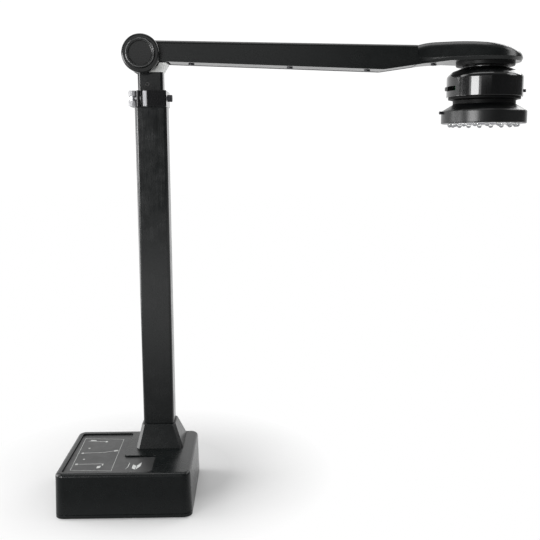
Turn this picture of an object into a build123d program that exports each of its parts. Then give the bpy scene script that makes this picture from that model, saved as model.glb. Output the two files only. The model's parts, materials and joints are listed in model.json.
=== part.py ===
from build123d import *
from math import acos, atan, atan2, cos, degrees, hypot, radians, sin, tan
import os

# Overhead book scanner: heavy base, telescopic mast, folding arm and a swivelling camera head.
# Millimetres, +Z up, +X along the arm, +Y towards the back of the base.
# The origin is the centre of the base's footprint, on the surface that it stands on.

# ---- driving dimensions -------------------------------------------------------------------
BASE_W, BASE_D, BASE_H = 130.0, 118.0, 45.0     # footprint and height of the base
BASE_CORNER, BASE_EDGE = 9.0, 3.5               # plan corner and top edge radii
BASE_DRAFT = 0.027                              # each side leans in by this much per mm of height
BASE_WALL, BASE_CEILING = 3.0, 40.2             # side wall, underside of the top wall
PAD_T, TRAY_TOP = 1.5, 4.7                      # rubber pad thickness, top of the bottom tray
RECESS_Z = 42.8                                 # floor of the label recess

MAST_X, MAST_Y = 26.5, 28.0                     # axis of the mast
OUTER_W, OUTER_D, OUTER_R = 31.0, 24.0, 3.2     # outer tube
OUTER_BORE_W, OUTER_BORE_D, OUTER_BORE_R = 26.6, 19.6, 1.6
INNER_W, INNER_D, INNER_R = 24.4, 17.4, 2.6     # inner tube
INNER_BORE_W, INNER_BORE_D, INNER_BORE_R = 21.2, 14.2, 1.2
OUTER_TOP, INNER_LOW, INNER_TOP = 397.0, 205.0, 420.0

CLAMP_LOW, CLAMP_TOP = 386.6, 402.0             # clamp band round the mouth of the outer tube
CLAMP_W, CLAMP_D = 33.2, 26.8
BOLT_Y, BOLT_Z, BOLT_R = 11.2, 394.5, 2.0       # draw bolt, along X in front of the tube
PIN_X, LOBE_R = 10.4, 3.4                       # cam lever's pin, along Z, and its lobe

HUB_X, HUB_Z, HUB_R = 19.4, 436.4, 18.1         # arm hinge, along Y
ARM_HALF = 16.0                                 # half the arm's width
ARM_FRONT, ARM_BACK = MAST_Y - ARM_HALF, MAST_Y + ARM_HALF
TONGUE_HALF, TONGUE_R = 9.0, 16.0               # mast head's tongue between the arm's cheeks
CHEEK_GAP = 10.3                                # half the slot between the cheeks
SHAFT_R = 4.0

HEAD_X, HEAD_Y = 354.7, MAST_Y                  # swivel axis of the camera head, along Z
PADDLE_R, PADDLE_LOW, PADDLE_SEAM, CAP_TOP = 35.2, 429.3, 432.6, 447.5
DOME_X, DOME_R = 318.0, 242.0                   # the cap falls away beyond here on this radius
CAP_EDGE, CAP_ROOT = 6.5, 8.0                   # rim radius; the cap is shaped from this far under its seam
CAP_LEAN = tan(radians(10))                     # how far its flanks lean in per mm of height
CAP_SIDE, CAP_ROOF = 3.0, 2.4                   # thickness of its flanks and of its top
COLLAR_R, COLLAR_LOW = 28.4, 425.7
BODY_R, BODY_LOW, BODY_TOP = 36.9, 395.9, 425.3
NECK_R, SPINDLE_R = 21.6, 9.0
WAIST_R, WAIST_LOW = 30.3, 389.2
RING_R, RING_LOW, RING_TOP = 41.3, 370.2, 382.4
SLEEVE_R = 29.1
LED_COUNT, LED_CIRCLE, LED_R = 18, 32.5, 2.5

RUN = 0.05                                      # radial running clearance
FREE = 0.3                                      # clearance where nothing rubs

# ---- shared shapes ------------------------------------------------------------------------


def block(x0, x1, y0, y1, z0, z1):
    """Box between two corners."""
    return Pos((x0 + x1) / 2, (y0 + y1) / 2, (z0 + z1) / 2) * Box(x1 - x0, y1 - y0, z1 - z0)


def prism(width, depth, radius, z0, z1, x=MAST_X, y=MAST_Y, taper=0):
    """Upright rounded-rectangle prism."""
    return Pos(x, y, z0) * extrude(RectangleRounded(width, depth, radius), z1 - z0, taper=taper)


def rod_x(radius, x0, x1, y, z):
    """Round bar along X."""
    return Pos((x0 + x1) / 2, y, z) * Rot(0, 90, 0) * Cylinder(radius, x1 - x0)


def rod_y(radius, y0, y1, x=HUB_X, z=HUB_Z):
    """Round bar along Y, on the arm's hinge axis unless told otherwise."""
    return Pos(x, (y0 + y1) / 2, z) * Rot(90, 0, 0) * Cylinder(radius, y1 - y0)


def rod_z(radius, z0, z1, x=HEAD_X, y=HEAD_Y):
    """Round bar along Z, on the head's swivel axis unless told otherwise."""
    return Pos(x, y, (z0 + z1) / 2) * Cylinder(radius, z1 - z0)


def ring_z(outer, inner, z0, z1):
    """Flat ring on the head's swivel axis."""
    return rod_z(outer, z0, z1) - rod_z(inner, z0 - 1, z1 + 1)


def turned(*points):
    """Solid of revolution about the head's swivel axis, from (radius, z) corners."""
    outline = make_face(Plane.XZ * Polyline(*points, close=True))
    return Pos(HEAD_X, HEAD_Y, 0) * revolve(outline, Axis.Z)


def side_profile(points, y0, y1):
    """Outline in X and Z, extruded along Y."""
    outline = make_face(Plane.XZ * Polyline(*points, close=True))
    return Pos(0, (y0 + y1) / 2, 0) * extrude(outline, (y1 - y0) / 2, both=True)


def rims(solid, radius, z):
    """Circular edges of one radius at one height."""
    rounds = solid.edges().filter_by(GeomType.CIRCLE)
    return [e for e in rounds if abs(e.radius - radius) < 0.02 and abs(e.center().Z - z) < 0.02]


def long_edges(solid, axis, where):
    """Straight edges along an axis whose middle passes a test."""
    return [e for e in solid.edges().filter_by(axis) if where(e.center())]


def pan_screw(head_r, head_h, shank_r, length):
    """Screw standing head down at the origin, with a cross slot in its head."""
    head = Pos(0, 0, head_h / 2) * Cylinder(head_r, head_h)
    head = fillet(head.edges().filter_by(GeomType.CIRCLE).sort_by(Axis.Z)[0], head_h * 0.4)
    shank = Pos(0, 0, head_h + length / 2) * Cylinder(shank_r, length)
    for turn in (0, 90):
        head -= Pos(0, 0, head_h * 0.2) * Rot(0, 0, turn) * Box(head_r * 1.1, head_r * 0.28, head_h * 0.5)
    return head + shank


# ---- base ---------------------------------------------------------------------------------
CORNER_POSTS = [(sx * 52.0, sy * 46.0) for sx in (-1, 1) for sy in (-1, 1)]
POST_R = 4.2
USB_X, POWER_X = -24.0, -4.0
PORT_Z, PORT_FACE = 33.5, 57.4                  # middle of both sockets, their outer face
BOARD_LOW, BOARD_TOP = 26.4, 28.0
SOCKET_H = 2 * (PORT_Z - BOARD_TOP)
FOOT_SCREWS = [(11.0, 10.5), (42.0, 10.5), (11.0, 45.5), (42.0, 45.5)]
FOOT_LOW = 25.6
COLLAR_TOP = 67.5
RECESS_X0, RECESS_X1, RECESS_XMID = -58.0, 26.6, -4.6
RECESS_Y0, RECESS_Y1, RECESS_YMID = -52.4, 50.0, -12.4


def base_section(inset, z):
    """Width, depth and corner radius of the base at a height, inset from its skin."""
    lean = BASE_DRAFT * z + inset
    return BASE_W - 2 * lean, BASE_D - 2 * lean, max(BASE_CORNER - inset, 1.0)


def base_prism(inset, z0, z1):
    """Prism that follows the base's drafted sides."""
    width, depth, radius = base_section(inset, z0)
    return prism(width, depth, radius, z0, z1, 0, 0, degrees(atan(BASE_DRAFT)))


def recess_outline(inset):
    """L-shaped label recess, which leaves room for the mast's foot."""
    corners = [
        (RECESS_X0 + inset, RECESS_Y0 + inset),
        (RECESS_X1 - inset, RECESS_Y0 + inset),
        (RECESS_X1 - inset, RECESS_YMID - inset),
        (RECESS_XMID - inset, RECESS_YMID - inset),
        (RECESS_XMID - inset, RECESS_Y1 - inset),
        (RECESS_X0 + inset, RECESS_Y1 - inset),
    ]
    outline = make_face(Polyline(*corners, close=True))
    return fillet(outline.vertices(), 3.0)


def make_base_pad():
    width, depth, radius = base_section(4.0, 0)
    return prism(width, depth, radius, 0, PAD_T, 0, 0)


def make_base_tray():
    tray = base_prism(0.1, PAD_T, TRAY_TOP)
    for x, y in CORNER_POSTS:
        tray -= rod_z(1.8, PAD_T, TRAY_TOP, x, y)
        tray -= rod_z(3.4, PAD_T, PAD_T + 1.8, x, y)
    return tray


def make_base_shell():
    shell = base_prism(0, TRAY_TOP, BASE_H)
    top_edges = [e for e in shell.edges() if abs(e.center().Z - BASE_H) < 0.01]
    shell = fillet(top_edges, BASE_EDGE)
    shell -= base_prism(BASE_WALL, TRAY_TOP - 1, BASE_CEILING)
    seam = base_prism(-1, TRAY_TOP - 0.1, TRAY_TOP + 0.6) - base_prism(0.7, TRAY_TOP - 1, TRAY_TOP + 2)
    shell -= seam
    shell -= Pos(0, 0, RECESS_Z) * extrude(recess_outline(0), 5)
    for x, y in CORNER_POSTS:
        shell += rod_z(POST_R, TRAY_TOP, BASE_CEILING, x, y)
        shell -= rod_z(1.3, TRAY_TOP - 1, TRAY_TOP + 11, x, y)
    shell -= prism(OUTER_W + 0.3, OUTER_D + 0.3, OUTER_R, 30, 60)
    for x, y in FOOT_SCREWS:
        shell -= rod_z(2.2, 38, 50, x, y)
    shell -= block(USB_X - 6.2, USB_X + 6.2, 50, 60, BOARD_TOP - 0.2, BOARD_TOP + SOCKET_H + 0.2)
    shell -= block(POWER_X - 4.7, POWER_X + 4.7, 50, 60, BOARD_TOP - 0.2, BOARD_TOP + SOCKET_H + 0.2)
    return shell


def make_base_screws():
    screw = pan_screw(3.1, 1.6, 1.25, 10)
    return [Pos(x, y, PAD_T + 0.1) * screw for x, y in CORNER_POSTS]


BALLAST_TOP = 24.4
BALLAST_SCREWS = [(-40.0, 0.0), (20.0, 0.0)]


def make_ballast_block():
    ballast = block(-58, 40, -52, 52, TRAY_TOP, BALLAST_TOP)
    for x, y in CORNER_POSTS[:2]:
        ballast -= block(x - 9, x + 7, y - 7, y + 7, 0, 30)
    for x, y in BALLAST_SCREWS:
        ballast -= rod_z(2.3, TRAY_TOP, BALLAST_TOP, x, y)
        ballast -= rod_z(4.4, BALLAST_TOP - 3.2, BALLAST_TOP, x, y)
    return chamfer(ballast.faces().sort_by(Axis.Z)[-1].outer_wire().edges(), 1.0)


def make_ballast_screws():
    screw = pan_screw(3.9, 2.6, 2.0, 16.4)
    return [Pos(x, y, BALLAST_TOP) * Rot(180, 0, 0) * screw for x, y in BALLAST_SCREWS]


BOARD_SCREWS = [(-44.0, 24.0), (-44.0, 48.0), (1.0, 24.0)]


def make_main_board():
    board = block(-47.4, 4.0, 20, 54, BOARD_LOW, BOARD_TOP)
    for x, y in BOARD_SCREWS:
        board -= rod_z(1.6, BOARD_LOW, BOARD_TOP, x, y)
    parts = [(-40, -30, 28, 40, 1.4), (-22, -12, 26, 34, 1.2), (-6, 0, 30, 38, 3.0), (-40, -34, 44, 50, 2.0)]
    for x0, x1, y0, y1, height in parts:
        board += block(x0, x1, y0, y1, BOARD_TOP, BOARD_TOP + height)
    return board


def make_board_posts():
    """Spacers under the board, each with its screw."""
    posts = []
    for x, y in BOARD_SCREWS:
        spacer = rod_z(3.0, BALLAST_TOP, BOARD_LOW, x, y)
        shank = rod_z(1.5, BOARD_LOW, BOARD_TOP, x, y)
        head = rod_z(2.6, BOARD_TOP, BOARD_TOP + 1.6, x, y)
        posts.append(spacer + shank + head)
    return posts


def make_usb_socket():
    socket = block(USB_X - 6, USB_X + 6, 42, PORT_FACE, BOARD_TOP, BOARD_TOP + SOCKET_H)
    cavity = block(USB_X - 4.3, USB_X + 4.3, 45.4, 60, PORT_Z - 3.9, PORT_Z + 3.9)
    return socket - chamfer(cavity.edges().filter_by(Axis.Y).sort_by(Axis.Z)[-2:], 1.6)


def make_usb_tongue():
    return block(USB_X - 2.8, USB_X + 2.8, 45.4, 50.6, PORT_Z - 1.6, PORT_Z + 1.6)


def make_power_socket():
    socket = block(POWER_X - 4.5, POWER_X + 4.5, 44, PORT_FACE, BOARD_TOP, BOARD_TOP + SOCKET_H)
    return socket - rod_y(3.2, 47.4, 60, POWER_X, PORT_Z)


def make_power_pin():
    return rod_y(1.0, 47.4, 51.6, POWER_X, PORT_Z)


def make_label_panel():
    return Pos(0, 0, RECESS_Z) * extrude(recess_outline(0.5), 0.6)


def make_foot_block():
    foot = block(4.4, 47.2, 6.0, 50.6, FOOT_LOW, BASE_CEILING)
    foot -= prism(OUTER_W + 0.1, OUTER_D + 0.1, OUTER_R, 20, 50)
    for x, y in FOOT_SCREWS:
        foot -= rod_z(2.1, 20, 50, x, y)
        foot -= rod_z(3.8, FOOT_LOW, FOOT_LOW + 3.2, x, y)
    return foot


def make_foot_screws():
    screw = pan_screw(3.5, 2.6, 1.9, 22)
    return [Pos(x, y, FOOT_LOW + 0.4) * screw for x, y in FOOT_SCREWS]


def make_foot_collar():
    """Four-sided flare that hides the joint of mast and base, with a bevel down each corner."""
    low = Pos(28.2, 29.2, BASE_H) * Rectangle(47.6, 49.0)
    high = Pos(MAST_X, MAST_Y, COLLAR_TOP) * Rectangle(34.2, 28.6)
    collar = loft([low, high])
    corners = [e for e in collar.edges() if 50 < e.center().Z < COLLAR_TOP - 5]
    collar = chamfer(corners, 3.0)
    collar = fillet(collar.faces().sort_by(Axis.Z)[-1].edges(), 0.8)
    collar -= prism(OUTER_W + 0.2, OUTER_D + 0.2, OUTER_R, 40, 70)
    for x, y in FOOT_SCREWS:
        collar -= rod_z(2.0, 40, 51.5, x, y)
    return collar


# ---- mast ---------------------------------------------------------------------------------
SHOE_H = 24.0                                   # glide shoe on the inner tube's foot
BUSH_H, BUSH_FLANGE = 22.0, 1.2
NUT_R, KNURLS = 3.3, 16
LEVER_OUT, LEVER_IN, LEVER_END = 6.6, 9.4, 40.5
PIN_R = 1.5
STOP_X, STOP_Z, STOP_R = 23.8, 408.6, 2.3       # plug in the inner tube's front wall
MAST_SCREW_X, MAST_SCREW_Z = (20.5, 32.5), 415.5
SHOULDER_RIGHT, SHOULDER_TOP = 43.0, 428.2      # the mast head's shoulder leans out to here


def make_outer_tube():
    tube = prism(OUTER_W, OUTER_D, OUTER_R, FOOT_LOW + 0.4, OUTER_TOP)
    return tube - prism(OUTER_BORE_W, OUTER_BORE_D, OUTER_BORE_R, 0, 410)


def make_mouth_bush():
    """Plastic bush in the tube's mouth, with a flange on the rim."""
    bush = prism(OUTER_BORE_W, OUTER_BORE_D, OUTER_BORE_R, OUTER_TOP - BUSH_H, OUTER_TOP)
    bush += prism(OUTER_W - 1, OUTER_D - 1, OUTER_R, OUTER_TOP, OUTER_TOP + BUSH_FLANGE)
    return bush - prism(INNER_W + 2 * RUN, INNER_D + 2 * RUN, INNER_R, 300, 410)


def make_clamp_band():
    """Band round the mouth, with a split boss in front for the draw bolt."""
    band = prism(CLAMP_W, CLAMP_D, 3.4, CLAMP_LOW, CLAMP_TOP)
    left = PIN_X + LOBE_R + FREE
    right = MAST_X + CLAMP_W / 2
    boss_plan = [(left, 16.5), (left, 8.0), (20.6, 8.0), (24.6, 5.6), (right, 5.6), (right, 16.5)]
    boss = extrude(make_face(Polyline(*boss_plan, close=True)), CLAMP_TOP - CLAMP_LOW)
    boss = fillet(long_edges(boss, Axis.Z, lambda c: c.Y < 9 and not 20 < c.X < 25), 1.2)
    band += Pos(0, 0, CLAMP_LOW) * boss
    flats = [f.outer_wire().edges() for f in band.faces().filter_by(Axis.Z)]
    band = chamfer(flats[0] + flats[1], 0.5)
    band -= prism(OUTER_W + 0.1, OUTER_D + 0.1, OUTER_R, CLAMP_LOW - 1, OUTER_TOP + BUSH_FLANGE + 0.2)
    band -= prism(INNER_W + 2 * FREE, INNER_D + 2 * FREE, INNER_R, CLAMP_LOW, CLAMP_TOP + 1)
    band -= block(17.6, 18.6, 0, 17, CLAMP_LOW - 1, CLAMP_TOP + 1)
    return band - rod_x(BOLT_R + 0.1, 0, 50, BOLT_Y, BOLT_Z)


def make_clamp_bolt():
    """Draw bolt with an eye for the cam lever's pin."""
    bolt = rod_x(BOLT_R, PIN_X, 48.0, BOLT_Y, BOLT_Z)
    bolt += rod_z(LOBE_R - 0.4, BOLT_Z - BOLT_R, BOLT_Z + BOLT_R, PIN_X, BOLT_Y)
    return bolt - rod_z(PIN_R, 380, 410, PIN_X, BOLT_Y)


def make_clamp_nut():
    """Knurled adjusting nut on the bolt's free end."""
    nut = rod_x(NUT_R, 43.5, 48.4, BOLT_Y, BOLT_Z)
    nut = chamfer(nut.edges().filter_by(GeomType.CIRCLE), 0.4)
    nut -= rod_x(BOLT_R + RUN, 43, 48.1, BOLT_Y, BOLT_Z)
    for step in range(KNURLS):
        angle = radians(360 / KNURLS * step)
        reach = NUT_R + 0.05
        nut -= rod_x(0.3, 43, 49, BOLT_Y + reach * cos(angle), BOLT_Z + reach * sin(angle))
    return nut


def make_lever_pin():
    return rod_z(PIN_R, CLAMP_LOW + 0.5, CLAMP_TOP - 0.5, PIN_X, BOLT_Y)


def make_clamp_lever():
    """Cam lever that lies flat along the band's left side when it is closed."""
    low, high = CLAMP_LOW + 0.3, CLAMP_TOP - 0.3
    lobe = rod_z(LOBE_R, low, high, PIN_X, BOLT_Y)
    plate = block(LEVER_OUT, LEVER_IN, BOLT_Y, LEVER_END, low, high)
    plate = fillet(long_edges(plate, Axis.X, lambda c: c.Y > LEVER_END - 5), 3.0)
    plate = fillet(long_edges(plate, Axis.Z, lambda c: c.X < LEVER_OUT + 1 and c.Y > LEVER_END - 5), 1.0)
    lever = lobe + plate
    eye = BOLT_R + FREE
    lever -= block(PIN_X - 5, PIN_X + 5, BOLT_Y - 5, BOLT_Y + 4, BOLT_Z - eye, BOLT_Z + eye)
    for step in range(3):
        groove_y = LEVER_END - 8.5 + 2.5 * step
        lever -= block(LEVER_OUT - 1, LEVER_OUT + 0.4, groove_y - 0.5, groove_y + 0.5, low + 3, high - 3)
    return lever - rod_z(PIN_R + RUN, 380, 410, PIN_X, BOLT_Y)


def make_inner_tube():
    tube = prism(INNER_W, INNER_D, INNER_R, INNER_LOW, INNER_TOP)
    tube -= prism(INNER_BORE_W, INNER_BORE_D, INNER_BORE_R, 200, 430)
    tube -= rod_y(STOP_R, 18, 22, STOP_X, STOP_Z)
    for x in MAST_SCREW_X:
        tube -= rod_y(1.5, 34, 38, x, MAST_SCREW_Z)
    return tube


def make_stop_plug():
    """Round plug in the tube's front wall, just below its surface, with a hexagon socket."""
    front = MAST_Y - INNER_D / 2
    plug = rod_y(STOP_R, front + 0.2, front + 3, STOP_X, STOP_Z)
    plug = chamfer(plug.edges().filter_by(GeomType.CIRCLE).sort_by(Axis.Y)[0], 0.3)
    socket = extrude(Plane.XZ * RegularPolygon(1.2, 6), 2.4, both=True)
    return plug - Pos(STOP_X, front - 0.4, STOP_Z) * socket


def make_glide_shoe():
    shoe = prism(OUTER_BORE_W - 2 * RUN, OUTER_BORE_D - 2 * RUN, OUTER_BORE_R, INNER_LOW - 3,
                 INNER_LOW + SHOE_H)
    shoe -= prism(INNER_W, INNER_D, INNER_R, INNER_LOW, 300)
    return shoe - prism(INNER_BORE_W - 4, INNER_BORE_D - 4, INNER_BORE_R, 190, 300)


def make_mast_head():
    """Plug, 45 degree shoulder and round tongue on top of the inner tube."""
    tongue_front, tongue_back = MAST_Y - TONGUE_HALF, MAST_Y + TONGUE_HALF
    plug = prism(INNER_BORE_W - 0.1, INNER_BORE_D - 0.1, INNER_BORE_R, INNER_TOP - 9, INNER_TOP)
    left = MAST_X - INNER_W / 2
    low = Pos(MAST_X, MAST_Y, INNER_TOP) * Rectangle(INNER_W, INNER_D)
    shoulder_w = SHOULDER_RIGHT - left
    high = Pos(left + shoulder_w / 2, MAST_Y, SHOULDER_TOP) * Rectangle(shoulder_w, 2 * ARM_HALF - 2)
    shoulder = loft([low, high])
    for y0, y1 in ((5, tongue_front), (tongue_back, 50)):
        shoulder -= rod_y(HUB_R + 0.7, y0, y1)
    web = block(left + 0.3, 38.4, tongue_front, tongue_back, INNER_TOP, HUB_Z - 9)
    tongue = rod_y(TONGUE_R, tongue_front, tongue_back)
    head = plug + shoulder + web + tongue
    head -= rod_y(SHAFT_R, 0, 60)
    head -= prism(12, 8, 1.0, 390, INNER_TOP + 3)
    for x in MAST_SCREW_X:
        head -= rod_y(1.3, 31, 40, x, MAST_SCREW_Z)
    return head


def make_mast_screws():
    """Flush grub screws in the tube's back wall, which hold the head."""
    back = MAST_Y + INNER_D / 2
    return [rod_y(1.25, back - 4, back - 0.1, x, MAST_SCREW_Z) for x in MAST_SCREW_X]


def make_hinge_shaft():
    shaft = rod_y(SHAFT_R, 7.4, 48.6)
    return chamfer(shaft.edges().filter_by(GeomType.CIRCLE), 0.5)


def make_friction_washers():
    """One washer on each side of the tongue."""
    gap = CHEEK_GAP - TONGUE_HALF
    washers = []
    for side in (-1, 1):
        middle = MAST_Y + side * (TONGUE_HALF + gap / 2)
        half = gap / 2 - RUN
        disc = rod_y(13.0, middle - half, middle + half)
        washers.append(disc - rod_y(SHAFT_R + 0.1, 0, 60))
    return washers


def make_spring_washer():
    return rod_y(7.2, ARM_BACK + 0.1, ARM_BACK + 1.0) - rod_y(SHAFT_R + 0.1, 0, 60)


def make_hinge_nut():
    nut = Pos(HUB_X, ARM_BACK + 2.9, HUB_Z) * extrude(Plane.XZ * RegularPolygon(7.2, 6), 1.75, both=True)
    return nut - rod_y(SHAFT_R, 0, 60)


# ---- arm ----------------------------------------------------------------------------------
TOP_SLOPE = -0.0173                             # the arm's top edge falls one degree
TOP_START = 449.2                               # its height above the hinge
LOW_START, LOW_KNEE = 429.9, 421.5              # underside above the hinge and at the knee
KNEE_X, RISE_X, RISE_Z = 252.0, 292.0, 427.2    # the underside rises from the knee to here
FLAT_X = 316.0                                  # and more gently to the paddle's flat underside
CAP_START, NECK_X = 284.5, 294.0                # where the cap begins and the flanks spread
NECK_BLEND = 30.0                               # radius that leads the sides into the flanks
WALL = 2.0
COVER_X0, COVER_X1 = 45.0, 284.0
ARM_SCREWS = [66.0, 162.0, 238.0]
CAP_SCREW_X = 303.5
CLIMB_RUN = 19.0                                # length of the cap's climb from the arm's top
CAVITY_X0 = 43.0


def arm_top(x):
    return TOP_START + TOP_SLOPE * (x - HUB_X)


UNDERSIDE = [(HUB_X, LOW_START), (KNEE_X, LOW_KNEE), (RISE_X, RISE_Z), (FLAT_X, PADDLE_LOW)]


def arm_low(x):
    """Height of the underside, which falls to a knee and then rises to the paddle."""
    for (x0, z0), (x1, z1) in zip(UNDERSIDE, UNDERSIDE[1:]):
        if x <= x1:
            return z0 + (z1 - z0) * (x - x0) / (x1 - x0)
    return PADDLE_LOW


def arm_slab(x0, x1, low_lift, top_drop, y0, y1):
    """Stretch of the arm's side outline, inset from its underside and its top."""
    points = [(x0, arm_low(x0) + low_lift)]
    for x, z in UNDERSIDE:
        if x0 < x < x1:
            points.append((x, z + low_lift))
    points.append((x1, arm_low(x1) + low_lift))
    points.append((x1, arm_top(x1) - top_drop))
    points.append((x0, arm_top(x0) - top_drop))
    return side_profile(points, y0, y1)


def paddle_plan(inset, start_x):
    """Round end about the swivel axis, whose flanks lead smoothly into the arm's sides from start_x."""
    radius = PADDLE_R - inset
    half = ARM_HALF - inset
    reach = HEAD_X - NECK_X
    flank = atan2(half, reach) + acos(radius / hypot(reach, half))
    touch_x, touch_y = HEAD_X - radius * cos(flank), radius * sin(flank)
    outline = Polyline((touch_x, HEAD_Y - touch_y), (NECK_X, HEAD_Y - half), (start_x, HEAD_Y - half),
                       (start_x, HEAD_Y + half), (NECK_X, HEAD_Y + half), (touch_x, HEAD_Y + touch_y))
    outline += ThreePointArc((touch_x, HEAD_Y + touch_y), (HEAD_X + radius, HEAD_Y),
                             (touch_x, HEAD_Y - touch_y))
    plan = make_face(outline)
    return fillet([v for v in plan.vertices() if abs(v.X - NECK_X) < 0.1], NECK_BLEND)


def make_paddle():
    """Round end plate of the arm, whose underside follows the arm's up to its flat part.

    Its round end and both flanks lean under towards the flat part.
    """
    deep = arm_low(CAP_START) - 1
    paddle = Pos(0, 0, deep) * extrude(paddle_plan(0, CAP_START), PADDLE_SEAM - deep)
    below = [(x, z) for x, z in UNDERSIDE if x > KNEE_X]
    below = [(CAP_START - 1, arm_low(CAP_START - 1)), *below, (HEAD_X + 50, PADDLE_LOW)]
    paddle -= side_profile([*below, (HEAD_X + 50, deep - 9), (CAP_START - 1, deep - 9)], -20, 80)
    flat_part = paddle.faces().filter_by(lambda f: f.normal_at().Z < -0.999).sort_by(Axis.X)[-1]
    lean_in, lean_height = 1.4, 2.9
    return chamfer(rims(paddle, PADDLE_R, PADDLE_LOW), lean_in, lean_height, reference=flat_part)


def make_arm_shell():
    beam = arm_slab(HUB_X, NECK_X + 3, 0, 0, ARM_FRONT, ARM_BACK)
    beam = fillet(long_edges(beam, Axis.Y, lambda c: abs(c.X - KNEE_X) < 1), 12)
    ridge = [e for e in beam.edges() if e.length > 200 and e.center().Z > 440]
    beam = fillet(ridge, 3.0)
    beam -= block(CAP_START - 0.1, NECK_X + 10, 0, 60, PADDLE_SEAM, 460)
    cheeks = rod_y(HUB_R - 0.4, ARM_FRONT, ARM_BACK)
    shell = beam + cheeks + make_paddle()
    shell -= rod_y(HUB_R + 0.3, MAST_Y - CHEEK_GAP, MAST_Y + CHEEK_GAP)
    shell -= rod_y(SHAFT_R + RUN, 0, 60)
    floor_top = PADDLE_LOW + 2.4
    cavity = arm_slab(CAVITY_X0, NECK_X + 8, -20, WALL, ARM_FRONT + WALL, ARM_BACK - WALL)
    shell -= cavity - block(COVER_X1 + 0.2, 320, 0, 60, 400, floor_top)
    shell -= Pos(0, 0, floor_top + 0.1) * extrude(paddle_plan(CAP_SIDE, CAP_START + CAP_SIDE), 20)
    for x in ARM_SCREWS:
        post = rod_z(3.2, arm_low(x) + 2.6, arm_top(x) - WALL, x, MAST_Y)
        shell += post - rod_z(1.3, arm_low(x), arm_low(x) + 12, x, MAST_Y)
    shell -= rod_z(1.7, PADDLE_LOW - 3, PADDLE_LOW + 4, CAP_SCREW_X, MAST_Y)
    return shell - rod_z(9.6, 420, PADDLE_LOW + 5)


def make_arm_cover():
    """Bottom cover, flush between the side walls."""
    cover = arm_slab(COVER_X0, COVER_X1, 0.3, 0, ARM_FRONT + WALL + 0.1, ARM_BACK - WALL - 0.1)
    cover -= arm_slab(0, 300, 2.3, -20, 0, 60)
    for x in ARM_SCREWS:
        cover -= rod_z(1.6, 400, 440, x, MAST_Y)
    return cover


def make_arm_screws():
    screw = pan_screw(2.9, 1.4, 1.25, 8)
    screws = [Pos(x, MAST_Y, arm_low(x) - 1.2) * screw for x in ARM_SCREWS]
    screws.append(Pos(CAP_SCREW_X, MAST_Y, arm_low(CAP_SCREW_X) - 1.7) * screw)
    return screws


def cap_solid(inset, drop):
    """Leaning flanks under a top that climbs from the arm, runs level and falls away at the round end."""
    top = CAP_TOP - drop
    low, high = PADDLE_SEAM - CAP_ROOT, CAP_TOP + 2
    start_z = arm_top(CAP_START) - drop
    climb_x = CAP_START + CLIMB_RUN
    mid_x = CAP_START + CLIMB_RUN / 2
    mid_z = top - (top - start_z) / 4
    end_x = HEAD_X + PADDLE_R + 2
    end_z = top - (DOME_R - (DOME_R ** 2 - (end_x - DOME_X) ** 2) ** 0.5)
    bow_x = (DOME_X + end_x) / 2
    bow_z = top - (DOME_R - (DOME_R ** 2 - (bow_x - DOME_X) ** 2) ** 0.5)
    outline = Line((CAP_START, low), (CAP_START, start_z))
    outline += ThreePointArc((CAP_START, start_z), (mid_x, mid_z), (climb_x, top))
    outline += Line((climb_x, top), (DOME_X, top))
    outline += ThreePointArc((DOME_X, top), (bow_x, bow_z), (end_x, end_z))
    outline += Polyline((end_x, end_z), (end_x, low), (CAP_START, low))
    foot = Pos(0, 0, low) * paddle_plan(inset - CAP_ROOT * CAP_LEAN, CAP_START + inset)
    head = Pos(0, 0, high) * paddle_plan(inset + (high - PADDLE_SEAM) * CAP_LEAN, CAP_START + inset)
    return loft([foot, head], ruled=True) & extrude(make_face(Plane.XZ * outline), 100, both=True)


def make_paddle_cap():
    """Domed cover over the paddle, with a well rounded rim and an opening towards the arm."""
    cap = cap_solid(0.1, 0)
    upper = cap.faces().filter_by(lambda f: f.normal_at().Z > 0.5)
    shared = [e for face in upper for e in face.edges()]
    rim = [e for e in upper.edges() if sum(e.is_same(s) for s in shared) == 1 and e.center().X > CAP_START + 1]
    cap = fillet(rim, CAP_EDGE)
    cap -= cap_solid(CAP_SIDE, CAP_ROOF)
    cap -= block(CAP_START - 1, HEAD_X + 50, -20, 80, PADDLE_SEAM - CAP_ROOT - 1, PADDLE_SEAM)
    cap -= block(CAP_START - 1, CAP_START + 4, HEAD_Y - 12.8, HEAD_Y + 12.8, PADDLE_SEAM - 1, 441.8)
    cap += rod_z(3.2, PADDLE_LOW + 2.6, CAP_TOP - 1.5, CAP_SCREW_X, MAST_Y)
    return cap - rod_z(1.3, PADDLE_LOW, PADDLE_LOW + 12, CAP_SCREW_X, MAST_Y)


def hub_disc(y0, y1, outside):
    """Round cover with its outside edge, at y = outside, well rounded."""
    disc = rod_y(HUB_R, y0, y1)
    edge = disc.edges().filter_by(GeomType.CIRCLE).sort_by(Axis.Y)[0 if outside < MAST_Y else -1]
    return fillet(edge, 1.8)


KNOB_R, KNOB_FRONT, KNOB_SEAT = 13.9, 3.4, 7.4
DISH_R = 10.9
FRONT_FACE = 6.0


def make_front_disc():
    """Round cover on the front cheek, with a shallow seat for the tension knob."""
    disc = hub_disc(FRONT_FACE, ARM_FRONT, FRONT_FACE)
    disc -= rod_y(KNOB_R + FREE, 0, KNOB_SEAT + 0.1)
    return disc - rod_y(6.4, 0, 20)


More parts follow.
